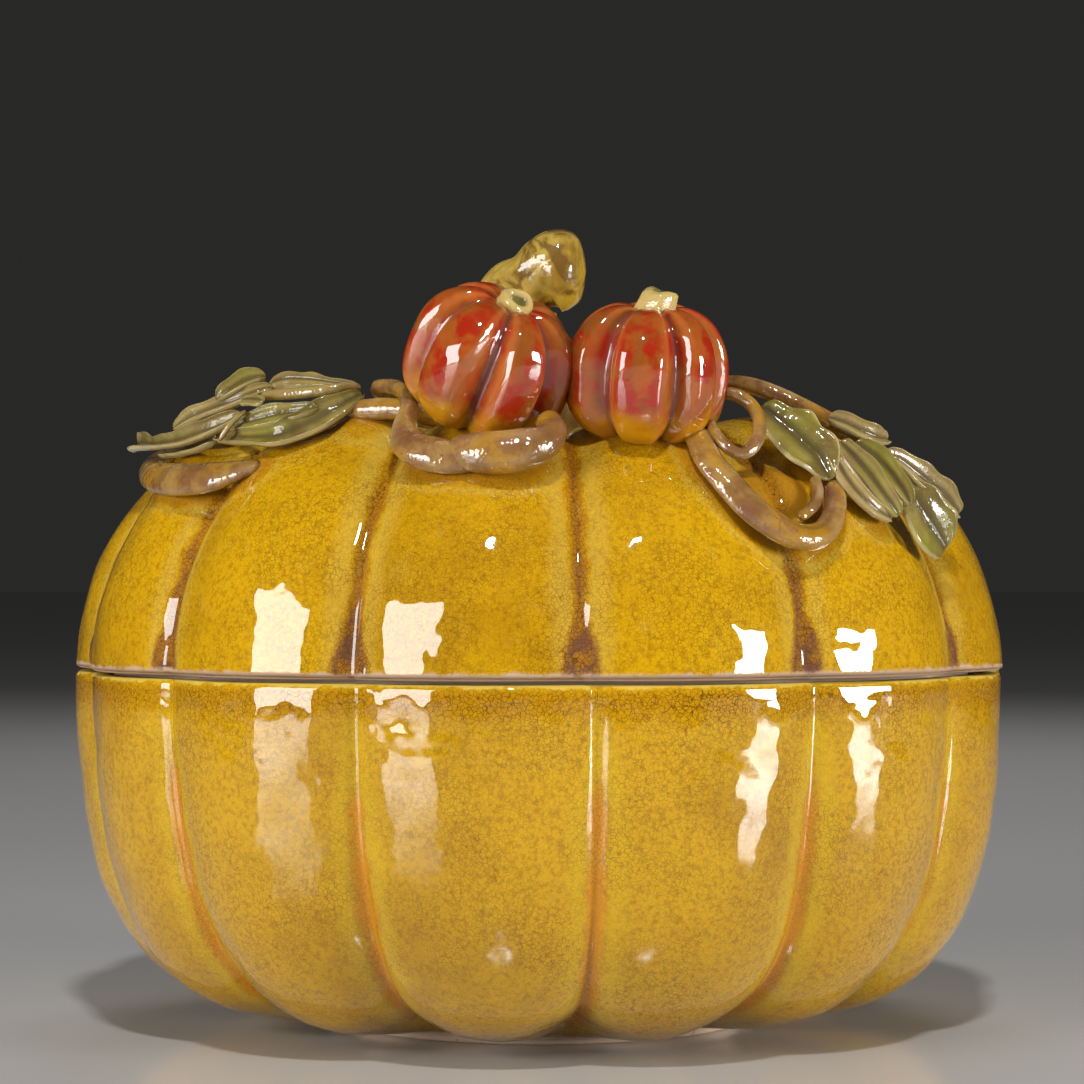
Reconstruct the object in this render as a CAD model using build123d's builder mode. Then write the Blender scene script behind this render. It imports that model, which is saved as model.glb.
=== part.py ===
from build123d import *
from math import cos, radians, sin, sqrt
import os

# A lidded ceramic pumpkin box: a lobed bowl on a foot ring, and a lobed lid that lifts off.
# The lid carries a stalk, two small pumpkins, vines and leaves, all luted on before firing.
# Frame: millimetres, +Z up, origin on the table under the centre, -Y is the decorated front.
# An azimuth is in degrees from the front (-Y), positive towards +X.

# ------------------------------------------------------------------ driving dimensions
BODY_RADIUS = 115.0  # over the lobes, at the seam
SEAM_HEIGHT = 86.0  # the table to the joint between bowl and lid
BOWL_DEPTH = 84.2  # the seam to the underside of the lobes
BOWL_POWERS = (2.4, 6.4)  # shape of the bowl's side: powers on depth and on radius
WALL = 6.5
FLOOR_THICKNESS = 7.0
FOOT_RADIUS = 52.0
FOOT_WIDTH = 9.0

DOME_CENTRE_RADIUS = 48.0  # centre of the arc that makes the lid's side
DOME_RADIUS = 67.0
DOME_TURN = 58.0  # degrees up the side where the shoulder arc takes over
SHOULDER_RADIUS = 24.0
DIMPLE_DEPTH = 3.5  # how far the middle of the lid's top sinks

FLANGE_RADIUS = 105.5  # the ring under the lid that locates it in the bowl
FLANGE_WIDTH = 5.5
FLANGE_DROP = 7.0
FLANGE_SEAT_RADIUS = 109.0  # the ring's upper half is luted into the lid's wall
FLANGE_SEAT_HEIGHT = 6.0

LOBES = 14
GROOVE_DEPTH = 4.2  # of the valleys between the lobes, outside
INNER_GROOVE_DEPTH = 1.6  # the same valleys, softer, inside

LEFT_SMALL_GROOVES = [4, 63, 110, 158, 206, 253, 299]  # round each small pumpkin's own axis
RIGHT_SMALL_GROOVES = [25, 70, 118, 168, 222, 272, 320]
SMALL_GROOVE_SHARE = 0.13  # groove depth of a small pumpkin over its radius

os.makedirs("parts", exist_ok=True)


# ------------------------------------------------------------------ shared geometry
def valleys(right, left):
    """The valleys between the lobes: the front ones, and the rest evenly spaced round the back."""
    hidden = LOBES - len(right) - len(left)
    gap = (left[0] - right[-1]) / (hidden + 1)
    return right + [right[-1] + gap * (step + 1) for step in range(hidden)] + left


def polar(radius, azimuth):
    """The point of a horizontal section at this radius and azimuth."""
    return (radius * sin(radians(azimuth)), -radius * cos(radians(azimuth)))


def lobed_face(plane, crest, groove_depth, grooves):
    """A scalloped outline on a plane: one arc for each lobe, meeting in sharp valleys."""
    following = grooves[1:] + [grooves[0] + 360]
    with BuildSketch(plane) as outline:
        with BuildLine():
            for start, end in zip(grooves, following):
                ThreePointArc(
                    polar(crest - groove_depth, start),
                    polar(crest, (start + end) / 2),
                    polar(crest - groove_depth, end),
                )
        make_face()
    return outline.sketch


def shoulder_centre():
    """Radius and height above the seam of the centre of the lid's shoulder arc."""
    reach = DOME_RADIUS - SHOULDER_RADIUS
    turn = radians(DOME_TURN)
    return DOME_CENTRE_RADIUS + reach * cos(turn), reach * sin(turn)


def dome_surface(radius):
    """Height above the seam of the lid's crest line, and its outward normal as (radial, up)."""
    turn_radius = DOME_CENTRE_RADIUS + DOME_RADIUS * cos(radians(DOME_TURN))
    centre_radius, centre_height = shoulder_centre()
    if radius >= turn_radius:
        height = sqrt(DOME_RADIUS**2 - (radius - DOME_CENTRE_RADIUS) ** 2)
        return height, ((radius - DOME_CENTRE_RADIUS) / DOME_RADIUS, height / DOME_RADIUS)
    if radius >= centre_radius:
        rise = sqrt(SHOULDER_RADIUS**2 - (radius - centre_radius) ** 2)
        return centre_height + rise, ((radius - centre_radius) / SHOULDER_RADIUS, rise / SHOULDER_RADIUS)
    sink = DIMPLE_DEPTH * (1 - (radius / centre_radius) ** 2)
    return centre_height + SHOULDER_RADIUS - sink, (0.0, 1.0)


def dome_normal(azimuth, foot_radius):
    """The lid's outward direction over this spot."""
    radial, up = dome_surface(foot_radius)[1]
    x, y = polar(radial, azimuth)
    return Vector(x, y, up)


def on_dome(azimuth, foot_radius, lift=0.0):
    """The point that stands lift off the lid's crest surface over this spot."""
    x, y = polar(foot_radius, azimuth)
    ground = Vector(x, y, SEAM_HEIGHT + dome_surface(foot_radius)[0])
    return ground + dome_normal(azimuth, foot_radius) * lift


def clay_strip(name, stations, front=0.0):
    """A hand-rolled vine or a pressed leaf: oval sections lofted along a route over the lid.
    A station is (azimuth, foot radius, lift, half width, half thickness). A strip lies flat on
    the lid, and one with a front of 1 leans its face half way round towards the front."""
    points = [on_dome(*station[:3]) for station in stations]
    sections = []
    for index, station in enumerate(stations):
        azimuth, foot_radius, _, half_width, half_thickness = station
        behind = points[max(index - 1, 0)]
        ahead = points[min(index + 1, len(points) - 1)]
        along = (ahead - behind).normalized()
        face = dome_normal(azimuth, foot_radius) + Vector(0, -front, 0)
        across = along.cross(face).normalized()
        with BuildSketch(Plane(origin=points[index], x_dir=across, z_dir=along)) as oval:
            Ellipse(half_width, half_thickness)
        sections.append(oval.sketch)
    with BuildPart() as strip:
        loft(sections=sections)
    strip.part.label = name
    export_step(strip.part, f"parts/{name}.step")
    return strip


# ------------------------------------------------------------------ bowl
BOWL_GROOVES = valleys([6.5, 33, 58], [311, 338.5])  # azimuths
LID_GROOVES = valleys([4.5, 31.5, 59], [310, 338])


def bowl_radius(share, radius):
    """Crest radius at this share of the depth below the seam."""
    depth_power, radius_power = BOWL_POWERS
    return radius * (1 - share**depth_power) ** (1 / radius_power)


BOWL_SHARES = [0.0, 0.2, 0.4, 0.55, 0.68, 0.79, 0.88, 0.94, 0.975, 0.992]


def bowl_sections(radius, depth, groove_depth):
    """The bowl's lobed outlines from the rim down."""
    sections = []
    for share in BOWL_SHARES:
        plane = Plane.XY.offset(SEAM_HEIGHT - share * depth)
        crest = bowl_radius(share, radius)
        sections.append(lobed_face(plane, crest, groove_depth * (0.85 + 0.4 * share), BOWL_GROOVES))
    return sections


bowl_outside = bowl_sections(BODY_RADIUS, BOWL_DEPTH, GROOVE_DEPTH)
bowl_inside = bowl_sections(BODY_RADIUS - WALL, BOWL_DEPTH - FLOOR_THICKNESS, INNER_GROOVE_DEPTH)
bowl_base_height = SEAM_HEIGHT - BOWL_SHARES[-1] * BOWL_DEPTH

with BuildPart() as bowl:
    loft(sections=bowl_outside)
    loft(sections=bowl_inside, mode=Mode.SUBTRACT)
bowl.part.label = "bowl"
export_step(bowl.part, "parts/bowl.step")

# the bare ring that the bowl stands on
with BuildPart() as foot_ring:
    with BuildSketch():
        Circle(FOOT_RADIUS)
        Circle(FOOT_RADIUS - FOOT_WIDTH, mode=Mode.SUBTRACT)
    extrude(amount=bowl_base_height)
foot_ring.part.label = "foot_ring"
export_step(foot_ring.part, "parts/foot_ring.step")


# ------------------------------------------------------------------ lid
SIDE_ANGLES = [0, 10, 20, 30, 40, 50, 58]  # degrees up the side arc
SHOULDER_ANGLES = [68, 78, 88]  # degrees round the shoulder arc
TOP_SHARES = [0.8, 0.5, 0.2]  # of the shoulder centre's radius, towards the stalk


def lid_sections(inset, groove_depth):
    """The lid's lobed outlines from the seam, over the shoulder, to beside the stalk."""
    centre_radius, centre_height = shoulder_centre()
    crest_points = []
    for angle in SIDE_ANGLES:
        reach = DOME_RADIUS - inset
        crest_points.append(
            (DOME_CENTRE_RADIUS + reach * cos(radians(angle)), reach * sin(radians(angle)))
        )
    for angle in SHOULDER_ANGLES:
        reach = SHOULDER_RADIUS - inset
        crest_points.append(
            (centre_radius + reach * cos(radians(angle)), centre_height + reach * sin(radians(angle)))
        )
    for share in TOP_SHARES:
        radius = share * centre_radius
        crest_points.append((radius, dome_surface(radius)[0] - inset))
    sections = []
    for radius, height in crest_points:
        fade = min(1.0, radius / centre_radius)
        plane = Plane.XY.offset(SEAM_HEIGHT + height)
        sections.append(lobed_face(plane, radius, groove_depth * fade, LID_GROOVES))
    return sections


lid_outside = lid_sections(0.0, GROOVE_DEPTH)
lid_inside = lid_sections(WALL, INNER_GROOVE_DEPTH)

with BuildPart() as lid_shell:
    loft(sections=lid_outside)
    loft(sections=lid_inside, mode=Mode.SUBTRACT)
lid_shell.part.label = "lid_shell"
export_step(lid_shell.part, "parts/lid_shell.step")

# the ring luted inside the lid, which drops into the bowl and keeps the lid central
with BuildPart() as lid_flange:
    with BuildSketch(Plane.XY.offset(SEAM_HEIGHT)):
        Circle(FLANGE_SEAT_RADIUS)
    extrude(amount=FLANGE_SEAT_HEIGHT)
    with BuildSketch(Plane.XY.offset(SEAM_HEIGHT - FLANGE_DROP)):
        Circle(FLANGE_RADIUS)
    extrude(amount=FLANGE_DROP)
    with BuildSketch(Plane.XY.offset(SEAM_HEIGHT - FLANGE_DROP)):
        Circle(FLANGE_RADIUS - FLANGE_WIDTH)
    extrude(amount=FLANGE_DROP + FLANGE_SEAT_HEIGHT, mode=Mode.SUBTRACT)
lid_flange.part.label = "lid_flange"
export_step(lid_flange.part, "parts/lid_flange.step")


# ------------------------------------------------------------------ stalk
# Each station is (x, y, height above the seam, radius, turn to the right in degrees).
STALK_STATIONS = [
    (0.0, 0.0, 55.5, 13.5, 0.0),
    (-1.4, 0.0, 61.0, 11.6, -8.0),
    (-3.6, -0.1, 70.0, 10.4, -9.0),
    (-5.6, -0.3, 79.0, 10.0, -6.0),
    (-6.5, -0.8, 87.0, 9.8, 0.0),
    (-6.0, -1.4, 92.0, 9.0, 18.0),
    (-3.6, -2.0, 95.6, 7.6, 46.0),
    (0.2, -2.8, 98.0, 8.8, 68.0),
    (3.8, -3.5, 99.0, 9.8, 80.0),
    (7.0, -4.0, 99.2, 9.2, 88.0),
    (9.6, -4.4, 99.3, 6.8, 90.0),
    (11.2, -4.6, 99.3, 2.8, 90.0),
]
STALK_GROOVES = [10, 68, 132, 190, 251, 310]
STALK_GROOVE_SHARE = 0.1

stalk_sections = []
for x, y, height, radius, turn in STALK_STATIONS:
    leaning = Vector(sin(radians(turn)), 0, cos(radians(turn)))
    sideways = Vector(cos(radians(turn)), 0, -sin(radians(turn)))
    stalk_plane = Plane(origin=(x, y, SEAM_HEIGHT + height), x_dir=sideways, z_dir=leaning)
    stalk_sections.append(lobed_face(stalk_plane, radius, radius * STALK_GROOVE_SHARE, STALK_GROOVES))

with BuildPart() as stalk:
    loft(sections=stalk_sections, ruled=True)
stalk.part.label = "stalk"
export_step(stalk.part, "parts/stalk.step")


# ------------------------------------------------------------------ small pumpkins
SMALL_SHARES = [-0.97, -0.85, -0.6, -0.3, 0.0, 0.3, 0.6, 0.85, 0.97]


def small_pumpkin(name, centre, radius, half_height, axis, grooves):
    """A small lobed pumpkin round an axis; gives the point at its crown."""
    up = Vector(*axis).normalized()
    sideways = Vector(0, 1, 0).cross(up).normalized()
    sections = []
    for share in SMALL_SHARES:
        crest = radius * (1 - abs(share) ** 2.3) ** (1 / 2.3)
        origin = Vector(*centre) + up * (share * half_height)
        plane = Plane(origin=origin, x_dir=sideways, z_dir=up)
        sections.append(lobed_face(plane, crest, crest * SMALL_GROOVE_SHARE, grooves))
    with BuildPart() as pumpkin:
        loft(sections=sections)
    pumpkin.part.label = name
    export_step(pumpkin.part, f"parts/{name}.step")
    return Vector(*centre) + up * half_height


left_crown = small_pumpkin(
    "left_small_pumpkin",
    (-11.3, -82.0, SEAM_HEIGHT + 71.8),
    18.9,
    15.6,
    (0.35, -0.39, 0.85),
    LEFT_SMALL_GROOVES,
)
right_crown = small_pumpkin(
    "right_small_pumpkin",
    (23.9, -79.2, SEAM_HEIGHT + 69.5),
    18.5,
    15.6,
    (0.06, -0.20, 0.98),
    RIGHT_SMALL_GROOVES,
)

# a short tube-like nub that leans forwards, hollow at its end
left_nub_plane = Plane(origin=left_crown, z_dir=(0.45, -0.60, 0.66))
with BuildPart() as left_small_stem:
    with BuildSketch(left_nub_plane.offset(-4.5)):
        Circle(4.6)
    extrude(amount=7.5, taper=4)
    with BuildSketch(left_nub_plane.offset(3.0)):
        Circle(1.8)
    extrude(amount=-2.0, mode=Mode.SUBTRACT)
left_small_stem.part.label = "left_small_stem"
export_step(left_small_stem.part, "parts/left_small_stem.step")

# a stub cut with a knife, so its sides are flat
right_stub_plane = Plane(origin=right_crown, z_dir=(0.18, -0.20, 0.96))
with BuildPart() as right_small_stem:
    with BuildSketch(right_stub_plane.offset(-4.0)):
        RegularPolygon(radius=5.6, side_count=5)
    extrude(amount=9.5, taper=8)
right_small_stem.part.label = "right_small_stem"
export_step(right_small_stem.part, "parts/right_small_stem.step")


# ------------------------------------------------------------------ left vines and leaves
clay_strip("left_root_vine", [
    (-60, 14, 3, 3.4, 3),
    (-50, 32, 3.8, 3.2, 2.8),
    (-41, 50, 5, 3, 2.6),
    (-35, 64, 6.2, 2.6, 2.3),
    (-31, 72, 6.2, 2.2, 2),
])
clay_strip("left_coil_vine", [
    (-12, 93.5, 4, 2.6, 2.4),
    (-9, 95, 4.4, 4.4, 3.8),
    (-6, 95.5, 4.6, 5.2, 4.2),
    (-3, 95.2, 4.6, 5.2, 4.2),
    (0, 93.5, 4.5, 4.6, 3.8),
    (1.4, 90, 4.2, 3.6, 3.2),
    (0.6, 86, 4, 2.6, 2.6),
])
clay_strip("left_vine_stub", [
    (-33, 79.5, 2.5, 2.3, 2.1),
    (-29.5, 79.5, 2.6, 2.6, 2.35),
    (-24.5, 79.5, 2.6, 2.6, 2.35),
    (-21.5, 80, 2.5, 2, 1.9),
])
clay_strip("left_loop_vine", [
    (-33, 71, 6.5, 1.6, 1.6),
    (-28, 72.5, 6.5, 1.8, 1.7),
    (-23.5, 77, 5.6, 1.9, 1.8),
    (-20.5, 82, 4.6, 2.1, 2),
    (-19.8, 87, 3.6, 2.6, 2.2),
    (-18.5, 91.5, 3.2, 3.8, 2.8),
    (-15.5, 94.3, 3.2, 4.4, 3.2),
    (-11.5, 95.5, 3.2, 4.2, 3),
    (-8, 95.5, 3, 2.8, 2.4),
])
clay_strip("left_shoulder_vine", [
    (-88, 90, 2, 2.2, 2),
    (-78, 94.5, 2.4, 3.4, 2.6),
    (-66, 97.5, 2.6, 4.2, 2.8),
    (-56, 98.5, 2.6, 4.6, 2.8),
    (-49, 98, 2.2, 4.4, 2.5),
    (-45.5, 96.5, 1.6, 3.4, 1.9),
    (-42, 94.5, 0.8, 1.6, 1.1),
])
clay_strip("left_tendril", [
    (-49.5, 93, 6.4, 0.6, 0.6),
    (-48, 90.5, 8.4, 0.7, 0.7),
    (-47, 87.5, 9, 0.6, 0.6),
])
clay_strip("left_petiole", [
    (-48.5, 82, 8.5, 1.2, 1.2),
    (-41.5, 82, 8.5, 1.3, 1.3),
    (-35.5, 80, 8, 1.3, 1.3),
    (-33, 75, 6.5, 1.2, 1.2),
])
clay_strip("left_cut_stub", [
    (-51, 84.5, 9, 1.2, 1.1),
    (-47.5, 85, 9.5, 1.5, 1.3),
    (-44.5, 85.5, 9.5, 1.6, 1.4),
])
clay_strip("left_low_leaf", [
    (-72, 93, 3.6, 1.2, 1.1),
    (-64, 93, 4, 1.8, 1.4),
    (-58, 92, 4, 2, 1.4),
    (-53.5, 91, 4.4, 1.3, 1.1),
], front=1)
clay_strip("left_front_leaf", [
    (-54, 90.5, 4.4, 0.9, 0.9),
    (-49.5, 90.5, 4.2, 1.6, 1.2),
    (-44.5, 90.5, 4, 2.1, 1.4),
    (-40.5, 90, 3.8, 2.9, 1.6),
    (-38, 88, 3.7, 3.7, 1.7),
    (-35.5, 85, 3.9, 4.1, 1.7),
    (-33.5, 82, 4.2, 3.4, 1.6),
    (-32.5, 79, 4.6, 2.4, 1.4),
    (-32, 76, 4.8, 1.1, 1.1),
], front=1)
clay_strip("left_middle_leaf", [
    (-50.5, 89.5, 6.2, 1, 1),
    (-47, 88, 6.2, 2.3, 1.4),
    (-43, 86.5, 6.2, 2.9, 1.5),
    (-39, 85.5, 6.2, 2.3, 1.4),
    (-35.5, 84, 6, 1.1, 1),
], front=1)
clay_strip("left_tip_leaf", [
    (-79.5, 94, 8.6, 2.8, 1.3),
    (-75.5, 93.5, 8, 2.5, 1.3),
    (-69, 93.5, 7.2, 1.6, 1.2),
    (-61, 93, 7, 2.1, 1.4),
    (-56, 91.5, 7, 2.5, 1.5),
    (-52, 89, 7, 2.1, 1.3),
    (-49.5, 86.5, 7.4, 0.9, 0.9),
], front=1)
clay_strip("left_back_leaf", [
    (-64, 91, 8.5, 0.9, 0.9),
    (-61.5, 89, 9, 2, 1.3),
    (-58.5, 87, 9, 2.3, 1.5),
    (-54.5, 85, 9, 2, 1.5),
    (-51.5, 82.5, 9, 1.8, 1.4),
    (-49.5, 79, 8.5, 1.3, 1.2),
], front=1)
clay_strip("left_top_leaf", [
    (-50.5, 79, 9.4, 1.2, 1.1),
    (-48.5, 77, 9.8, 2.3, 1.4),
    (-45.5, 76, 9.4, 2.6, 1.6),
    (-42, 75, 8.5, 1.9, 1.5),
    (-38.5, 74, 7.5, 1.3, 1.3),
    (-35, 73, 7, 0.9, 0.9),
], front=1)
clay_strip("left_curled_leaf", [
    (-56, 85.5, 10.5, 0.9, 0.9),
    (-54.5, 83.5, 11.2, 2.2, 1.3),
    (-53, 81, 11.6, 2.6, 1.5),
    (-51.5, 78.5, 11.2, 1.8, 1.3),
], front=1)

# ------------------------------------------------------------------ right vines and leaves
clay_strip("right_root_vine", [
    (62, 14, 3, 3.4, 3),
    (57.5, 23, 3.4, 3.3, 2.9),
    (53, 32, 4, 3.2, 2.8),
    (48.5, 41, 4.9, 3, 2.6),
    (44, 50, 5.8, 2.8, 2.4),
    (40.5, 58, 6.7, 2.5, 2.2),
    (38, 66, 7.4, 2.2, 2),
    (37.5, 73.5, 7.6, 2, 1.9),
    (39, 79.5, 7.5, 2, 1.9),
    (41.5, 84, 7.5, 2.2, 1.9),
    (44.5, 88, 7.2, 2.6, 2.1),
    (47.2, 91.5, 6.8, 2.5, 2.1),
    (49, 94, 6.3, 1.3, 1.1),
])
clay_strip("right_vine", [
    (22.5, 86, 3, 2.8, 2.2),
    (22.5, 91, 3, 3.2, 2.2),
    (22.5, 96, 3, 3.4, 2.2),
    (24, 100.5, 3, 3.6, 2.3),
    (26, 104, 2.8, 3.6, 2.3),
    (29, 106.5, 2.6, 3.4, 2.3),
    (32, 107.5, 2.5, 3.1, 2.3),
    (35, 107, 2.5, 2.8, 2.3),
    (37.5, 105, 2.5, 2.6, 2.2),
    (39.3, 102, 2.8, 2.5, 2.1),
    (40, 98.5, 3.2, 2.1, 1.9),
])
clay_strip("right_inner_vine", [
    (37, 99, 3.5, 1.2, 1.2),
    (36.5, 101.5, 3.2, 1.4, 1.3),
    (35, 103.5, 2.6, 1.4, 1.3),
    (32.5, 105, 1.8, 1.1, 1),
])
clay_strip("right_curl", [
    (24.5, 88, 5, 1.3, 1.3),
    (24.2, 91, 5.2, 1.4, 1.4),
    (25, 94.2, 5, 1.45, 1.45),
    (26.8, 95.6, 5, 1.5, 1.5),
    (29, 94.2, 6.5, 1.5, 1.5),
    (30.6, 91, 8, 1.5, 1.5),
    (30.8, 87.5, 9.2, 1.6, 1.5),
    (29.4, 85, 9.8, 1.6, 1.5),
    (27.6, 83.5, 9.2, 1.4, 1.4),
])
clay_strip("right_broad_leaf", [
    (34.4, 84.5, 6.5, 2.6, 1.3),
    (35.6, 89, 6.4, 5.5, 1.6),
    (37, 93, 6, 6.7, 1.7),
    (38.2, 96.5, 5.5, 5.6, 1.6),
    (38.5, 100.2, 4.6, 2.2, 1.2),
], front=1)
clay_strip("right_finger_leaf_1", [
    (40.5, 93.5, 6.5, 1.6, 1.1),
    (40.5, 98.5, 6, 2.3, 1.4),
    (41.5, 102, 5.2, 2.2, 1.4),
    (44, 104.5, 4.4, 1.9, 1.3),
    (47, 105.5, 3.4, 1.1, 1),
], front=1)
clay_strip("right_finger_leaf_2", [
    (42.5, 94.5, 7.5, 2.2, 1.3),
    (44, 98.5, 7, 3.1, 1.5),
    (45.5, 102.5, 6.2, 2.9, 1.5),
    (47.5, 105.5, 4.8, 1.6, 1.1),
], front=1)
clay_strip("right_finger_leaf_3", [
    (45, 95, 8.4, 2.4, 1.3),
    (47.5, 98.5, 8, 3.1, 1.5),
    (49, 102, 7.2, 2.7, 1.5),
    (50, 104.5, 6, 1.4, 1.1),
], front=1)
clay_strip("right_tip_leaf", [
    (51, 101, 6.5, 2.4, 1.3),
    (52, 103.5, 6, 5.2, 1.6),
    (53, 105.5, 5.4, 6.8, 1.7),
    (54.4, 107.2, 4.4, 6.8, 1.6),
    (56.2, 108.8, 3.4, 4.6, 1.2),
], front=1)
clay_strip("right_upper_leaf", [
    (43, 90, 9.2, 1.7, 1.3),
    (45, 92, 9.8, 2.3, 1.4),
    (46.5, 93.5, 10, 2.5, 1.5),
    (48.8, 94.8, 9.9, 2.3, 1.4),
    (51.5, 95, 9.6, 1.3, 1),
], front=1)
clay_strip("right_back_leaf", [
    (48.5, 97.5, 9, 1.5, 1.2),
    (51, 99, 9.3, 2.6, 1.5),
    (54, 101.5, 8.8, 3.4, 1.6),
    (57.5, 103.5, 8, 3.5, 1.5),
    (61, 105.5, 6.5, 1.9, 1.1),
], front=1)
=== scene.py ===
from math import cos, degrees, pi, radians, sin

import bpy
import numpy as np
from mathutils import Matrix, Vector


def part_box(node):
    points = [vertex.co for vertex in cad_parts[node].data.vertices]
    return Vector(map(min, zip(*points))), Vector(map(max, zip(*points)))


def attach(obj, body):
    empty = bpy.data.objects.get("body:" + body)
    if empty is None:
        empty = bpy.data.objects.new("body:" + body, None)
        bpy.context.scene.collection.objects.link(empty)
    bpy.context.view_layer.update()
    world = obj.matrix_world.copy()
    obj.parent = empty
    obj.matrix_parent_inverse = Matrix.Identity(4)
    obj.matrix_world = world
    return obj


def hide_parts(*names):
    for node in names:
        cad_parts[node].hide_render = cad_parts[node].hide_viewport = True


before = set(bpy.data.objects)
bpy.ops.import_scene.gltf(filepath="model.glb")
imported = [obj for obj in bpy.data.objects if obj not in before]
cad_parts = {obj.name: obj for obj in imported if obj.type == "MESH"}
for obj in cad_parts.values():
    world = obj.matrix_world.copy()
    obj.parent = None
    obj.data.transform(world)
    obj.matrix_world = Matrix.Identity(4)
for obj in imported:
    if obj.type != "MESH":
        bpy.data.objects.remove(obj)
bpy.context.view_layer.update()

MM = 0.001
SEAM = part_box("lid_shell")[0].z / MM  # height of the joint between bowl and lid, mm
FOOT_LOW, FOOT_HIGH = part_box("foot_ring")
TABLE = FOOT_LOW.z  # metres

# Lengths below are millimetres until mesh_piece turns them into metres.
# An azimuth is in degrees from the front (-Y), positive towards +X.
BODY_RADIUS = 115.0
BOWL_DEPTH = 84.2
DEPTH_POWER, RADIUS_POWER = 2.4, 6.4
WALL = 6.5
FLOOR_THICKNESS = 7.0
EDGE = 1.3  # rounding of the rims
FLANGE_INNER, FLANGE_OUTER = 100.0, 105.5
FOOT_INNER, FOOT_OUTER = 43.0, 52.0
SINK = 0.4  # how far the foot ring reaches up into the bowl
GAP = 0.8  # the shadow line between lid and bowl

DOME_CENTRE_RADIUS = 48.0
DOME_RADIUS = 67.0
DOME_TURN = 58.0
SHOULDER_RADIUS = 24.0
DIMPLE_DEPTH = 3.5
SHOULDER_REACH = DOME_RADIUS - SHOULDER_RADIUS
CENTRE_RADIUS = DOME_CENTRE_RADIUS + SHOULDER_REACH * cos(radians(DOME_TURN))  # of the shoulder arc
CENTRE_HEIGHT = SHOULDER_REACH * sin(radians(DOME_TURN))

LOBES = 14


def valleys(right, left):
    """The valleys between the lobes: the front ones, and the rest evenly spaced round the back."""
    hidden = LOBES - len(right) - len(left)
    gap = (left[0] - right[-1]) / (hidden + 1)
    return right + [right[-1] + gap * (step + 1) for step in range(hidden)] + left


BOWL_GROOVES = valleys([6.5, 33, 58], [311, 338.5])
LID_GROOVES = valleys([4.5, 31.5, 59], [310, 338])
AROUND = 640  # points round the bowl and the lid


# -------- number helpers
def polar(radius, azimuth):
    """x and y at a radius and an azimuth in degrees."""
    turn = np.radians(azimuth)
    return radius * np.sin(turn), -radius * np.cos(turn)


def smooth(value, low, high):
    """0 below low, 1 above high, and an even S between."""
    share = np.clip((value - low) / (high - low), 0, 1)
    return share * share * (3 - 2 * share)


def wobble(points, wavelength, seed):
    """A smooth uneven field, about -1 to 1, from a few sine waves in different directions."""
    picker = np.random.default_rng(seed)
    total = np.zeros(points.shape[:-1])
    for _ in range(7):
        direction = picker.normal(size=3)
        direction *= picker.uniform(0.7, 1.5) * 2 * pi / wavelength / np.linalg.norm(direction)
        total += np.sin(points @ direction + picker.uniform(0, 2 * pi))
    return total / 3.2


def spline(stations, rows):
    """Catmull-Rom rows through a short list of stations."""
    table = np.array(stations, float)
    ends = np.vstack([2 * table[0] - table[1], table, 2 * table[-1] - table[-2]])
    place = np.linspace(0, len(table) - 1, rows)
    start = np.minimum(place.astype(int), len(table) - 2)
    step = (place - start)[:, None]
    before, here, after, beyond = (ends[start + offset] for offset in range(4))
    return 0.5 * (
        2 * here
        + (after - before) * step
        + (2 * before - 5 * here + 4 * after - beyond) * step**2
        + (3 * here - before - 3 * after + beyond) * step**3
    )


# -------- mesh helpers
def add(name, data):
    """A new object in the scene."""
    made = bpy.data.objects.new(name, data)
    bpy.context.scene.collection.objects.link(made)
    return made


def mesh_piece(name, points, closed_ends, attributes=None):
    """A closed skin from rows of points (mm). Each row is a ring. The first and last rows are
    capped, or on a turned ring they are joined to each other."""
    rows, columns, _ = points.shape
    corners = points.reshape(-1, 3)
    bands = rows - 1 if closed_ends else rows
    row, column = np.meshgrid(np.arange(bands), np.arange(columns), indexing="ij")
    here, above = row * columns, (row + 1) % rows * columns
    following = (column + 1) % columns
    quads = [here + column, here + following, above + following, above + column]
    faces = np.stack(quads, axis=-1).reshape(-1, 4).tolist()
    extra = []
    if closed_ends:
        for ring, flip in ((0, True), (rows - 1, False)):
            centre = rows * columns + len(extra)
            extra.append(points[ring].mean(axis=0))
            for index in range(columns):
                first, second = ring * columns + index, ring * columns + (index + 1) % columns
                faces.append((second, first, centre) if flip else (first, second, centre))
    if extra:
        corners = np.vstack([corners, np.array(extra)])
    mesh = bpy.data.meshes.new(name)
    mesh.from_pydata((corners * MM).tolist(), [], faces)
    for key, values in (attributes or {}).items():
        flat = values.reshape(-1)
        if extra:
            caps = [values[0].mean(), values[-1].mean()]
            flat = np.concatenate([flat, caps])
        layer = mesh.attributes.new(key, "FLOAT", "POINT")
        layer.data.foreach_set("value", flat.astype(np.float32))
    mesh.polygons.foreach_set("use_smooth", [True] * len(mesh.polygons))
    mesh.update()
    piece = add(name, mesh)
    if outward(mesh) < 0:
        mesh.flip_normals()
    return piece


def outward(mesh):
    """The signed volume of a closed mesh: negative when its faces look inwards."""
    mesh.calc_loop_triangles()
    count = len(mesh.loop_triangles)
    corner = np.zeros(count * 3, np.int32)
    mesh.loop_triangles.foreach_get("vertices", corner)
    place = np.zeros(len(mesh.vertices) * 3)
    mesh.vertices.foreach_get("co", place)
    a, b, c = place.reshape(-1, 3)[corner].reshape(-1, 3, 3).transpose(1, 0, 2)
    return np.einsum("ij,ij->i", a, np.cross(b, c)).sum()


def finish_piece(piece, material, body, nodes):
    """Gives a piece its material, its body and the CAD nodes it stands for."""
    piece.data.materials.append(material)
    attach(piece, body)
    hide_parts(*nodes)


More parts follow.
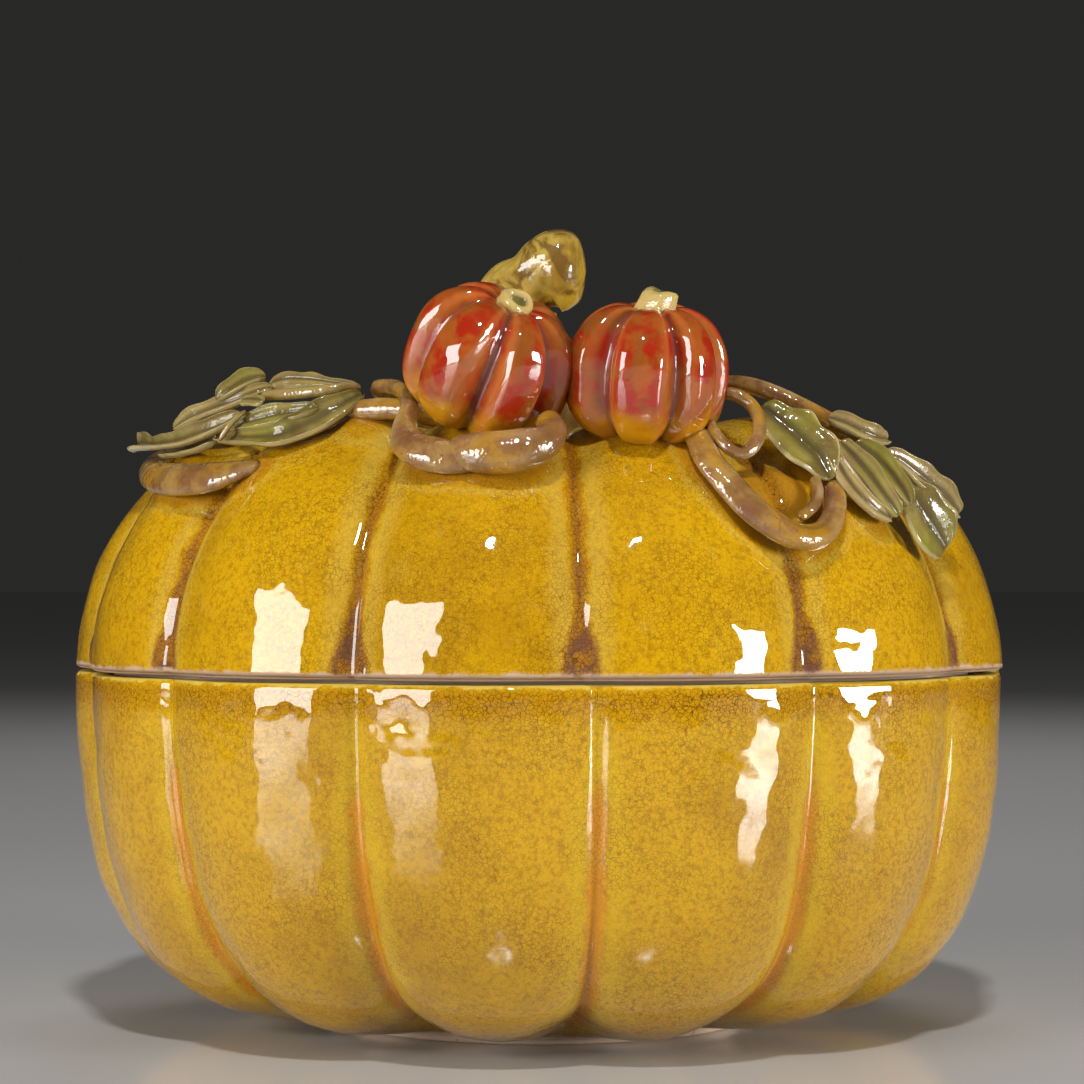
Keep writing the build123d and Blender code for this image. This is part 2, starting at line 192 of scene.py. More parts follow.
# -------- shader helper
class Shader:
    """A material's node tree, with a short method for each kind of node used here.
    colour is the colour so far, and over() lays another colour on it."""

    def __init__(self, name, colour):
        self.material = bpy.data.materials.new(name)
        self.material.use_nodes = True
        self.tree = self.material.node_tree
        self.place = self.node("ShaderNodeTexCoord").outputs["Object"]
        self.colour = colour

    def node(self, kind, inputs=None, **settings):
        """A node with these settings, and with a value or a socket for each named or numbered input."""
        made = self.tree.nodes.new(kind)
        for key, value in settings.items():
            setattr(made, key, value)
        for key, value in (inputs or {}).items():
            self.put(made.inputs[key], value)
        return made

    def put(self, socket, value):
        if isinstance(value, bpy.types.NodeSocket):
            self.tree.links.new(value, socket)
        elif isinstance(value, tuple) and socket.type == "RGBA":
            socket.default_value = (*value, 1.0)
        else:
            socket.default_value = value

    def field(self, name):
        return self.node("ShaderNodeAttribute", attribute_name=name).outputs["Fac"]

    def height(self):
        """Millimetres above the seam."""
        split = self.node("ShaderNodeSeparateXYZ", {0: self.place})
        return self.sum(split.outputs["Z"], 1 / MM, -SEAM)

    def sum(self, value, factor, offset):
        """value times factor, plus offset."""
        inputs = {0: value, 1: factor, 2: offset}
        return self.node("ShaderNodeMath", inputs, operation="MULTIPLY_ADD").outputs[0]

    def math(self, operation, first, second, clamp=False):
        inputs = {0: first, 1: second}
        return self.node("ShaderNodeMath", inputs, operation=operation, use_clamp=clamp).outputs[0]

    def times(self, first, second):
        return self.math("MULTIPLY", first, second)

    def noise(self, scale, detail=3.0, roughness=0.6, distortion=0.0, stretch=None):
        place = self.place
        if stretch:
            place = self.node("ShaderNodeMapping", {"Vector": place, "Scale": stretch}).outputs[0]
        inputs = {"Vector": place, "Scale": scale, "Detail": detail, "Roughness": roughness,
                  "Distortion": distortion}
        return self.node("ShaderNodeTexNoise", inputs).outputs["Fac"]

    def bent(self, amount, scale):
        """The place, pushed about by a noise, so that cells and lines aren't straight."""
        noise = self.node("ShaderNodeTexNoise", {"Vector": self.place, "Scale": scale}).outputs["Color"]
        inputs = {0: noise, 1: (amount,) * 3, 2: self.place}
        return self.node("ShaderNodeVectorMath", inputs, operation="MULTIPLY_ADD").outputs[0]

    def cells(self, scale, place):
        """How far each point is from the nearest border between cells."""
        inputs = {"Vector": place, "Scale": scale}
        return self.node("ShaderNodeTexVoronoi", inputs, feature="DISTANCE_TO_EDGE").outputs["Distance"]

    def span(self, value, low, high, end=1.0, start=0.0):
        """value from low to high becomes start to end, with an even S between."""
        inputs = dict(enumerate((value, low, high, start, end)))
        return self.node("ShaderNodeMapRange", inputs, interpolation_type="SMOOTHSTEP").outputs[0]

    def over(self, amount, colour):
        """Lays a colour over the colour so far, as much as amount says."""
        inputs = {0: amount, 6: self.colour, 7: colour}
        self.colour = self.node("ShaderNodeMix", inputs, data_type="RGBA").outputs[2]

    def bump(self, height, distance, strength, normal=None):
        inputs = {"Height": height, "Distance": distance, "Strength": strength}
        if normal:
            inputs["Normal"] = normal
        return self.node("ShaderNodeBump", inputs).outputs[0]

    def surface(self, **values):
        """Finishes the material with the colour so far."""
        principled = self.tree.nodes["Principled BSDF"]
        for key, value in {"Base_Color": self.colour, **values}.items():
            self.put(principled.inputs[key.replace("_", " ")], value)
        return self.material

    def glazed(self, waves, **values):
        """Finishes a glaze: a matt body under a clear coat, with the same waves on both."""
        glass = {"Roughness": 0.5, "Specular_IOR_Level": 0.1, "Coat_Weight": 1.0, "Coat_Roughness": 0.04,
                 "Normal": waves, "Coat_Normal": waves}
        return self.surface(**{**glass, **values})


# -------- lobes and profiles
def lobes(azimuth, grooves):
    """For each azimuth: degrees to the nearest groove, half that lobe's width, and the lobe's number."""
    ordered = np.sort(np.array(grooves) % 360)
    fences = np.concatenate([[ordered[-1] - 360], ordered, [ordered[0] + 360]])
    turn = azimuth % 360
    number = np.searchsorted(fences, turn, side="right") - 1
    start, end = fences[number], fences[number + 1]
    return np.minimum(turn - start, end - turn), (end - start) / 2, number % len(ordered)


def dome_surface(radius):
    """Height above the seam of the lid's crest line, with its outward normal's radial and up parts."""
    turn_radius = DOME_CENTRE_RADIUS + DOME_RADIUS * cos(radians(DOME_TURN))
    radius = np.asarray(radius, float)
    side = np.sqrt(np.maximum(DOME_RADIUS**2 - (radius - DOME_CENTRE_RADIUS) ** 2, 0))
    rise = np.sqrt(np.maximum(SHOULDER_RADIUS**2 - (radius - CENTRE_RADIUS) ** 2, 0))
    sink = DIMPLE_DEPTH * (1 - (radius / CENTRE_RADIUS) ** 2)
    on_side, on_shoulder = radius >= turn_radius, radius >= CENTRE_RADIUS
    height = np.where(on_side, side, np.where(on_shoulder, CENTRE_HEIGHT + rise,
                                              CENTRE_HEIGHT + SHOULDER_RADIUS - sink))
    out = np.where(on_side, (radius - DOME_CENTRE_RADIUS) / DOME_RADIUS,
                   np.where(on_shoulder, (radius - CENTRE_RADIUS) / SHOULDER_RADIUS, 0.0))
    up = np.where(on_side, side / DOME_RADIUS, np.where(on_shoulder, rise / SHOULDER_RADIUS, 1.0))
    return height, out, up


def dome_frame(azimuth, foot_radius, lift):
    """Points that stand lift off the lid, and the lid's outward normal under each."""
    height, out, up = dome_surface(foot_radius)
    x, y = polar(foot_radius, azimuth)
    normal_x, normal_y = polar(out, azimuth)
    ground = np.stack([x, y, SEAM + height], axis=-1)
    normal = np.stack([normal_x, normal_y, up], axis=-1)
    return ground + normal * np.asarray(lift)[..., None], normal


def bowl_crest(angle, radius, depth):
    """Crest radius, height, and normal of the bowl's side at an angle from the rim (0) to the base (90)."""
    share = np.sin(np.radians(angle)) ** (2 / DEPTH_POWER)
    width = np.cos(np.radians(angle)) ** (2 / RADIUS_POWER)
    out = RADIUS_POWER * width ** (RADIUS_POWER - 1) / radius
    down = DEPTH_POWER * share ** (DEPTH_POWER - 1) / depth
    size = np.hypot(out, down)
    return radius * width, SEAM - depth * share, out / size, -down / size


def valley_push(azimuth, radius, grooves, depth, incision):
    """How far the glaze sinks below the crest: a broad rounded valley with a narrow line at its foot."""
    apart, half, number = lobes(azimuth, grooves)
    apart_mm = np.radians(apart) * radius
    evenness = 1 + 0.13 * np.sin(number * 2.4 + 0.7)
    broad = (1 - apart / half) ** 2.0
    fine = np.exp(-((apart_mm / 1.3) ** 2))
    return depth * broad * evenness + incision * fine, apart_mm


AZIMUTHS = np.arange(AROUND) * 360 / AROUND


def ring(radius, height):
    """One ring of points at these radii and heights, one for each azimuth."""
    x, y = polar(radius, AZIMUTHS)
    return np.stack([x, y, np.broadcast_to(height, x.shape)], axis=-1)


# -------- glazes
# Colours are linear red, green and blue.
GOLD, OCHRE, LEMON = (0.56, 0.31, 0.001), (0.26, 0.11, 0.001), (0.62, 0.4, 0.003)
CREAM, CRACK, MAUVE = (0.56, 0.4, 0.07), (0.12, 0.046, 0.001), (0.15, 0.062, 0.034)
RUST, ORANGE, POOL_AMBER = (0.36, 0.125, 0.001), (0.6, 0.225, 0.001), (0.36, 0.15, 0.005)
CLAY, BISCUIT, PALE_BISCUIT = (0.48, 0.32, 0.21), (0.5, 0.34, 0.22), (0.68, 0.5, 0.36)
IRON, SPECK = (0.16, 0.08, 0.04), (0.1, 0.045, 0.02)
BURNT_ORANGE, RED_ORANGE, HOT_RED = (0.22, 0.062, 0.007), (0.33, 0.072, 0.008), (0.31, 0.01, 0.001)
DEEP_RED, FOOT_AMBER, PEACH = (0.2, 0.035, 0.006), (0.52, 0.23, 0.003), (0.48, 0.15, 0.035)
PLUM, UMBER, TAN = (0.15, 0.04, 0.032), (0.175, 0.078, 0.022), (0.33, 0.185, 0.048)
VINE_AMBER, VINE_MAUVE, VINE_BROWN = (0.38, 0.185, 0.006), (0.2, 0.08, 0.044), (0.13, 0.05, 0.012)
VINE_RIDGE_HIGHLIGHT, PALE_LIME, LIME = (0.46, 0.31, 0.15), (0.3, 0.22, 0.07), (0.225, 0.215, 0.012)
DARK_OLIVE, OLIVE, GREEN = (0.13, 0.088, 0.018), (0.25, 0.19, 0.045), (0.21, 0.215, 0.016)
LEAF_TAN, LEAF_BROWN = (0.38, 0.265, 0.105), (0.22, 0.13, 0.055)
LEAF_RIM, LEAF_FOLD_SHADE = (0.5, 0.41, 0.18), (0.07, 0.048, 0.016)
HONEY, PALE_HONEY, STALK_CREAM = (0.26, 0.145, 0.014), (0.44, 0.3, 0.055), (0.52, 0.41, 0.2)
STALK_AMBER, STALK_RIDGE = (0.56, 0.33, 0.01), (0.5, 0.38, 0.18)
STALK_BROWN, STALK_LOW_SHADE, STALK_FOLD = (0.12, 0.055, 0.008), (0.1, 0.045, 0.006), (0.15, 0.08, 0.016)
DULL_CREAM, WARM_CREAM, GREENISH = (0.38, 0.27, 0.06), (0.6, 0.43, 0.17), (0.12, 0.12, 0.02)


def amber_glaze(name, on_lid):
    """Thick amber glaze, crackled all over, pooled brown in the valleys and thin and pale beside them."""
    look = Shader(name, OCHRE)
    height = look.height()
    apart = look.field("apart")
    broad = look.noise(22, 3, 0.55)
    patch = look.noise(95, 4, 0.6)
    grain = look.noise(760, 3, 0.65)
    look.over(look.span(broad, 0.3, 0.62, start=0.45), GOLD)
    look.over(look.span(patch, 0.32, 0.62, 0.55), GOLD)
    look.over(look.span(patch, 0.56, 0.78, 0.45), LEMON)
    look.over(look.span(grain, 0.42, 0.68, 0.55), OCHRE)

    # thin glaze on the shoulders of each valley, and brown pools in its foot
    ragged = look.sum(look.noise(130), 5.0, -2.5)
    edge_mm = look.math("ADD", apart, ragged)
    pale = look.times(look.span(edge_mm, 1.6, 3.4), look.span(edge_mm, 8.5, 4.2))
    look.over(look.times(pale, 0.32 if on_lid else 0.45), CREAM if on_lid else LEMON)
    if on_lid:
        edge_mm = look.math("SUBTRACT", edge_mm, look.span(height, 17.0, 3.0, 2.6))
    pool = look.span(edge_mm, 2.9, 0.3)
    if on_lid:
        low = look.span(height, 44.0, 6.0, start=0.25)
        look.over(look.times(pool, 0.75), RUST)
        drip = look.times(look.span(edge_mm, 2.6, 0.2), low)
        broken = look.span(look.noise(260, 4, 0.65), 0.4, 0.6, start=0.35)
        look.over(look.times(drip, broken), MAUVE)
        stain = look.math("ADD", look.field("stain"), look.sum(look.noise(150), 0.5, -0.25))
        thin = look.times(look.span(stain, 0.02, 0.22), look.span(stain, 0.55, 0.3))
        look.over(look.times(thin, 0.25), CREAM)
        look.over(look.span(stain, 0.3, 0.8, 0.85), POOL_AMBER)
    else:
        look.over(look.times(pool, 0.85), ORANGE)

    # the crackle: one net of about 1 mm cells and a finer one inside it
    bent = look.bent(0.0011, 420)
    wide = look.span(look.cells(950, bent), 0.0, 0.1, 0.0, 1.0)
    close = look.span(look.cells(1800, bent), 0.0, 0.14, 0.0, 1.0)
    strength = look.span(look.noise(60), 0.3, 0.7, 0.72, 0.2)
    net = look.math("ADD", look.times(wide, 0.75), look.times(close, 0.35), clamp=True)
    line = look.times(net, strength)
    if on_lid:
        deeper = look.times(look.times(pool, wide), 0.6)
    else:
        band = look.times(look.span(height, -10.0, -4.0), look.span(height, -0.6, -2.2))
        look.over(look.times(band, 0.35), RUST)
        deeper = look.times(look.times(band, net), 0.5)
    line = look.math("ADD", line, deeper, clamp=True)
    look.over(line, CRACK)

    # rims: a thin pale line on the bowl's edge, and bare clay on the lid's
    frayed = look.sum(look.noise(240, 4, 0.65), 3.0, -1.5)
    level = look.math("ADD", height, frayed)
    if on_lid:
        bare = look.span(level, 2.9, 1.7)
        look.over(bare, CLAY)
    else:
        bare = look.span(level, -0.9, -0.3)
        look.over(look.times(bare, 0.8), CREAM)
    waves = look.bump(look.noise(75, 2, 0.5), 0.0012, 0.55)
    pits = look.bump(look.math("SUBTRACT", 1.0, line), 0.00006, 0.6, waves)
    coat = look.span(bare, 0.2, 0.9, 0.05, 1.0)
    return look.glazed(waves, Roughness=0.6, Specular_IOR_Level=0.05, Coat_Weight=coat,
                         Coat_Roughness=0.03, Coat_IOR=1.55, Normal=pits)


def bare_clay():
    """Unglazed biscuit: matt, fine grained, with a few iron specks."""
    look = Shader("bare_clay", BISCUIT)
    look.over(look.noise(90, 4, 0.6), PALE_BISCUIT)
    specks = look.span(look.noise(900, 2, 0.5), 0.66, 0.74)
    look.over(look.times(specks, 0.6), IRON)
    normal = look.bump(look.noise(700, 4, 0.7), 0.0002, 0.7)
    return look.surface(Roughness=0.78, Normal=normal)


def red_glaze(name, seed):
    """Red over orange over amber, mottled, with mauve in the valleys and amber round the foot."""
    look = Shader(name, BURNT_ORANGE)
    apart = look.field("apart")
    level = look.field("level")
    blotch = look.noise(110, 3, 0.55, 0.4, stretch=(1.0 + seed * 0.01, 1.0, 0.75))
    fine = look.noise(420)
    look.over(look.span(blotch, 0.36, 0.58), RED_ORANGE)
    belt = look.times(look.span(level, -0.75, -0.25), look.span(level, 0.85, 0.35))
    flame = look.noise(150, 3, 0.55, 0.3, stretch=(1.0, 1.0, 0.8 + seed * 0.02))
    hot = look.math("ADD", flame, look.sum(belt, 0.07, 0.0))
    look.over(look.span(hot, 0.48, 0.66, 0.95), HOT_RED)
    look.over(look.span(fine, 0.45, 0.75, 0.45), DEEP_RED)
    foot = look.span(look.sum(look.noise(140, 3, 0.5), 0.8, level), 0.12, -0.34)
    look.over(look.times(foot, 0.9), FOOT_AMBER)
    rise = look.times(look.span(apart, 0.2, 0.36), look.span(apart, 0.62, 0.4))
    look.over(look.times(rise, 0.4), PEACH)
    dark = look.span(look.sum(look.noise(160, 3, 0.5), 0.2, apart), 0.32, 0.14)
    look.over(look.times(dark, 0.8), PLUM)
    waves = look.bump(look.noise(150, 2, 0.5), 0.0008, 0.5)
    return look.glazed(waves, Roughness=0.6, Specular_IOR_Level=0.05, Coat_Roughness=0.03, Coat_IOR=1.65)


def vine_glaze():
    """Mauve-brown glaze over tan clay, with a painted highlight along the high lines, and lime where a
    piece's tint says.
    """
    look = Shader("vine_glaze", UMBER)
    ridge = look.field("ridge")
    blotch = look.noise(120, 4, 0.6, 0.5)
    look.over(look.span(blotch, 0.35, 0.65), TAN)
    look.over(look.span(look.noise(65, 2, 0.5), 0.48, 0.64, 0.75), VINE_AMBER)
    mauve = look.span(look.noise(190, 4, 0.6, 0.8), 0.5, 0.66, 0.65)
    look.over(mauve, VINE_MAUVE)
    look.over(look.field("lime"), PALE_LIME)
    # painted highlight: pale tan laid along the tops of the ridges
    look.over(look.span(ridge, 0.55, 1.0, 0.55), VINE_RIDGE_HIGHLIGHT)
    look.over(look.span(ridge, 0.35, 0.0, 0.75), VINE_BROWN)
    specks = look.span(look.noise(900, 2, 0.5), 0.64, 0.74)
    look.over(look.times(specks, 0.5), SPECK)
    waves = look.bump(look.noise(170), 0.0012, 0.8)
    return look.glazed(waves, Coat_IOR=1.7)


def leaf_glaze():
    """Olive glaze with brighter green runs and brown patches, painted shade darkening the middle crease, and
    pale on the rims.
    """
    look = Shader("leaf_glaze", DARK_OLIVE)
    across = look.field("ridge")
    blotch = look.noise(100, 4, 0.6, 0.6)
    look.over(look.span(blotch, 0.36, 0.62), OLIVE)
    green = look.span(look.noise(75), 0.56, 0.68, 0.35)
    look.over(green, GREEN)
    look.over(look.field("tan"), LEAF_TAN)
    patchy = look.span(look.noise(170), 0.36, 0.58, start=0.25)
    lime = look.times(look.times(look.field("lime"), 0.7), patchy)
    look.over(lime, LIME)
    brown = look.span(look.noise(140), 0.52, 0.7, 0.55)
    look.over(brown, LEAF_BROWN)
    look.over(look.span(across, 0.62, 0.92, 0.85), LEAF_RIM)
    # painted shade: darkens the leaf's middle along its crease, on top and underneath
    look.over(look.span(across, 0.24, 0.0, 0.8), LEAF_FOLD_SHADE)
    waves = look.bump(look.noise(260), 0.0006, 0.6)
    veins = look.bump(look.noise(420, 3, 0.7, 0.0, stretch=(1.0, 1.0, 0.4)), 0.0003, 0.5, waves)
    return look.glazed(waves, Coat_Weight=0.8, Coat_Roughness=0.08, Coat_IOR=1.5, Normal=veins)


def stalk_glaze():
    """Honey glaze over pale clay, brown where it gathers between the ridges, and painted shade darkening it
    low down, near the lid.
    """
    look = Shader("stalk_glaze", HONEY)
    ridge = look.field("ridge")
    blotch = look.noise(95, 4, 0.6, 0.8)
    look.over(look.span(blotch, 0.36, 0.64), PALE_HONEY)
    look.over(look.span(look.noise(60, 3, 0.5), 0.52, 0.68, 0.65), STALK_CREAM)
    amber = look.span(look.noise(48, 2, 0.5), 0.5, 0.6, 0.55)
    look.over(amber, STALK_AMBER)
    look.over(look.span(ridge, 0.6, 1.0, 0.5), STALK_RIDGE)
    brown = look.span(look.noise(75, 4, 0.6, 0.9), 0.47, 0.57, 0.85)
    look.over(brown, STALK_BROWN)
    # painted shade: darker low on the stalk, between the small pumpkins, where shade falls
    look.over(look.span(look.height(), 76.0, 66.0, 0.85), STALK_LOW_SHADE)
    look.over(look.span(ridge, 0.34, 0.0, 0.8), STALK_FOLD)
    waves = look.bump(look.noise(180), 0.0008, 0.6)
    return look.glazed(waves, Coat_IOR=1.6)


def cream_glaze():
    """Thin cream glaze, greenish where it pools."""
    look = Shader("cream_glaze", DULL_CREAM)
    ridge = look.field("ridge")
    look.over(look.noise(300), WARM_CREAM)
    look.over(look.span(ridge, 0.35, 0.0, 0.8), GREENISH)
    waves = look.bump(look.noise(400), 0.0004, 0.6)
    return look.glazed(waves, Coat_IOR=1.6)


# -------- swept clay pieces
VINE_COLUMNS, LEAF_COLUMNS, STALK_COLUMNS = 28, 25, 120
PLAIN = (0.5, 0.2, 0.0, 0.0)  # the tint of a piece with no lime or tan


def sweep(name, route, normals, section, round_start, round_end, tint=PLAIN):
    """A closed skin along a route. route rows are x, y, z, half width, half thickness and roll;
    section(along, width, thickness) gives each row's outline and its ridge values.
    round_start and round_end are how far each end takes to close, in millimetres.
    tint is where along it the lime is, how far it reaches, its strength, and the tan's strength."""
    points, width, thickness, roll = route[:, :3], route[:, 3], route[:, 4], route[:, 5]
    travel = np.concatenate([[0], np.cumsum(np.linalg.norm(np.diff(points, axis=0), axis=1))])
    along = travel / travel[-1]
    tangent = np.gradient(points, axis=0)
    tangent /= np.linalg.norm(tangent, axis=1)[:, None]
    across = np.cross(tangent, normals)
    across /= np.linalg.norm(across, axis=1)[:, None]
    up = np.cross(across, tangent)
    turn = np.radians(roll)[:, None]
    side = across * np.cos(turn) + up * np.sin(turn)
    rise = up * np.cos(turn) - across * np.sin(turn)
    start = np.sqrt(1 - (1 - np.clip(travel / round_start, 0, 1)) ** 2)
    end = np.sqrt(1 - (1 - np.clip((travel[-1] - travel) / round_end, 0, 1)) ** 2)
    close = np.maximum(start * end, 0.02)
    outline, ridge = section(along, width, thickness)
    outline = outline * close[:, None, None]
    skin = points[:, None] + side[:, None] * outline[..., :1] + rise[:, None] * outline[..., 1:]
    middle, spread, strength, tan = tint
    lime = strength * np.exp(-(((along - middle) / spread) ** 2))[:, None]
    fields = {
        "ridge": ridge,
        "lime": np.broadcast_to(lime, ridge.shape).copy(),
        "tan": np.full(ridge.shape, tan),
    }
    return mesh_piece(name, skin, True, fields)


def dome_route(stations, rows, front):
    """Rows x, y, z, half width, half thickness, roll from stations on the lid, and the faces' normals.
    A front of 0 lies flat on the lid, and 1 leans half way round towards the front."""
    table = spline([(*station, 0.0) for station in stations], rows)
    points, normals = dome_frame(table[:, 0], table[:, 1], table[:, 2])
    return np.hstack([points, table[:, 3:6]]), normals + np.array([0.0, -front, 0.0])


def oval(width, thickness, reach, turn):
    """Points round an oval whose outline is pushed in and out by reach."""
    x = width[:, None] * reach * np.cos(turn)
    return np.stack([x, thickness[:, None] * reach * np.sin(turn)], -1)


def vine_section(ridges, depth, twist, seed):
    """A round clay roll with soft uneven ridges that wind slowly along it."""
    def outline(along, width, thickness):
        turn = np.linspace(0, 2 * pi, VINE_COLUMNS, endpoint=False)[None]
        phase = 2 * pi * twist * along[:, None] + seed
        swell = np.sin(ridges * turn + phase) * 0.7 + np.sin((ridges - 1) * turn - 1.7 * phase) * 0.5
        swell = swell * (0.75 + 0.25 * np.sin(9 * along[:, None] + seed))
        return oval(width, thickness, 1 + depth * swell, turn), np.clip(0.5 + 0.4 * swell, 0, 1)
    return outline


def leaf_section(cup, crease, ripple, waves, rim, seed):
    """A pressed leaf: cupped across, creased along its middle, wavy at its margin, with a rolled rim."""
    def outline(along, width, thickness):
        share = np.sin(np.linspace(-pi / 2, pi / 2, LEAF_COLUMNS))[None]
        far = np.abs(share)
        side = np.where(share < 0, -1.0, 1.0)
        wave = np.sin(2 * pi * waves * along[:, None] + side * 1.1 + seed)
        bend = cup * far**2 - crease * np.exp(-((share / 0.16) ** 2)) + ripple * wave * far**2
        bend = bend * width[:, None]
        swell = np.sqrt(np.maximum(1 - far**6, 0)) * (0.75 + rim * np.exp(-(((far - 0.86) / 0.10) ** 2)))
        half = thickness[:, None] * swell
        x = np.broadcast_to(share, bend.shape) * width[:, None] * (1 + 0.06 * wave)
        top = np.stack([x, bend + half], -1)
        under = np.stack([x, bend - half * 0.8], -1)[:, ::-1]
        ridge_top = np.broadcast_to(0.12 + 0.88 * far**3, bend.shape) - 0.12 * np.exp(-((share / 0.2) ** 2))
        ridge = np.concatenate([ridge_top, ridge_top[:, ::-1][:, 1:-1]], 1)
        return np.concatenate([top, under[:, 1:-1]], 1), ridge
    return outline


# -------- bowl and lid
GROOVE_DEPTH, INNER_GROOVE_DEPTH = 4.4, 1.6
FAR = 40.0  # the apart value of skin that has no valley
FLAT = np.full(AROUND, FAR)


def glaze_wobble(points, seed):
    """The unevenness of hand-pressed, thickly glazed clay, in mm."""
    return 0.32 * wobble(points, 46.0, seed) + 0.10 * wobble(points, 15.0, seed + 1)


def glazed_rows(crest, depth_share, grooves, seed):
    """Outside rings from crest rows (radius, height, out, up), sunk into valleys; with their apart values."""
    rings, aparts = [], []
    for (radius, height, out, up), share in zip(crest, depth_share):
        push, apart = valley_push(AZIMUTHS, max(radius, 20.0), grooves, GROOVE_DEPTH * share, 0.55 * share)
        points = ring(radius - out * push, height - up * push)
        wave = glaze_wobble(points, seed) * min(1.0, radius / 30)
        x, y = polar(out * wave, AZIMUTHS)
        rings.append(points + np.stack([x, y, up * wave], -1))
        aparts.append(apart + max(0.0, 1 - share) * FAR)
    return rings, aparts


def rounded_edge(radius, height, upward, angles):
    """Rings round a rim's edge. Rising angles turn in from its outside, and falling angles turn
    down into its inside."""
    outwards = angles[0] < angles[-1]
    rows = []
    for angle in angles:
        inset = EDGE * (1 - cos(radians(angle)))
        rise = EDGE * (1 - sin(radians(angle)))
        rows.append(ring(radius - inset if outwards else radius + inset, height - upward * rise))
    return rows


def rim_rows(outer, height, upward):
    """The rounded outer edge of a rim, from its side over to its flat face."""
    return rounded_edge(np.hypot(outer[:, 0], outer[:, 1]), height, upward, (18, 36, 54, 72, 90))


def inner_rim(height, upward):
    """The rim's flat face and its inner edge, in to where the inside wall starts."""
    apart, half, _ = lobes(AZIMUTHS, BOWL_GROOVES)
    radius = BODY_RADIUS - WALL - INNER_GROOVE_DEPTH * (1 - apart / half) ** 2
    return rounded_edge(radius, height, upward, (90, 60, 30, 0))


def inside_ring(radius, height, grooves):
    """One ring of the inside wall, with the lobes showing softly."""
    apart, half, _ = lobes(AZIMUTHS, grooves)
    sink = INNER_GROOVE_DEPTH * min(1.0, radius / 60) * (1 - apart / half) ** 2
    return ring(radius - sink, height)


def make_bowl(material):
    base_height = FOOT_HIGH.z / MM
    foot_radius = FOOT_HIGH.x / MM
    rows = [ring(radius, base_height + 0.1) for radius in (2.0, 16.0, 30.0, 42.0, foot_radius - 1.0)]
    aparts = [FLAT] * len(rows)
    start = degrees(np.arcsin((EDGE / BOWL_DEPTH) ** (DEPTH_POWER / 2)))
    angles = np.linspace(85.0, start, 96)
    crest = [bowl_crest(angle, BODY_RADIUS, BOWL_DEPTH) for angle in angles]
    shares = [(0.85 + 0.45 * (SEAM - height) / BOWL_DEPTH) * smooth(radius, foot_radius, foot_radius + 22)
              for radius, height, _, _ in crest]
    outside, outside_apart = glazed_rows(crest, shares, BOWL_GROOVES, 11)
    rows += outside
    aparts += outside_apart
    rim = rim_rows(outside[-1], SEAM, 1)
    inner = inner_rim(SEAM, 1)
    aparts += [outside_apart[-1]] * len(rim) + [FLAT] * len(inner)
    rows += rim + inner
    for angle in np.linspace(start + 3, 88.5, 34):
        radius, height, _, _ = bowl_crest(angle, BODY_RADIUS - WALL, BOWL_DEPTH - FLOOR_THICKNESS)
        rows.append(inside_ring(radius, height, BOWL_GROOVES))
        aparts.append(FLAT)
    piece = mesh_piece("bowl_glazed", np.array(rows), True, {"apart": np.array(aparts)})
    finish_piece(piece, material, "base", ["bowl"])


def arc_rows(centre_radius, centre_height, radius, angles):
    """Crest rows (radius, height, out, up) round an arc, at angles in degrees above level."""
    turns = [(cos(radians(angle)), sin(radians(angle))) for angle in angles]
    return [(centre_radius + radius * out, centre_height + radius * up, out, up) for out, up in turns]


def lid_crest(inset):
    """Crest rows from beside the stalk down to the seam."""
    rows = []
    for radius in np.linspace(1.5, CENTRE_RADIUS, 30, endpoint=False):
        rows.append((radius, SEAM + float(dome_surface(radius)[0]) - inset, 0.0, 1.0))
    shoulder = np.linspace(90, DOME_TURN, 16, endpoint=False)
    side = np.linspace(DOME_TURN, degrees(EDGE / DOME_RADIUS), 60)
    rows += arc_rows(CENTRE_RADIUS, SEAM + CENTRE_HEIGHT, SHOULDER_RADIUS - inset, shoulder)
    return rows + arc_rows(DOME_CENTRE_RADIUS, SEAM, DOME_RADIUS - inset, side)


def near_clay(points, samples):
    """How close each point is to the applied clay: 1 where it touches, 0 from 7 mm away."""
    places, reaches = samples
    nearest = np.full(points.shape[:-1], 99.0)
    for place, reach in zip(places, reaches):
        nearest = np.minimum(nearest, np.linalg.norm(points - place, axis=-1) - reach)
    return smooth(nearest, 7.0, 0.5)


# Clay pads pressed on under the leaves and vines: azimuth, foot radius, reach, rise.
PADS = [
    (31.5, 99.5, 9.5, 3.4), (27.0, 96.0, 6.0, 1.2), (44.0, 101.5, 7.5, 1.6), (-46.0, 91.0, 9.0, 1.6),
    (-28.0, 82.0, 8.0, 1.5), (-62.0, 94.0, 8.0, 1.4), (39.5, 96.5, 8.0, 2.8),
]


def pad_rise(points):
    """How far the clay pads lift the lid's skin at these points, in mm."""
    rise = np.zeros(points.shape[:-1])
    for azimuth, foot_radius, reach, height in PADS:
        centre, _ = dome_frame(np.array(azimuth), np.array(foot_radius), np.array(0.0))
        near = np.linalg.norm(points - centre, axis=-1) / reach
        rise = np.maximum(rise, height * np.exp(-(near**4)))
    return rise


def drip_rise(height, apart):
    """The beads of glaze that ran down the valleys and stopped above the lid's edge, in mm."""
    uneven = 0.55 + 0.45 * np.sin(np.radians(AZIMUTHS * 5.0) + 1.2)
    return 1.9 * uneven * np.exp(-(((height - 5.0) / 6.0) ** 2)) * np.exp(-((apart / 2.8) ** 2))


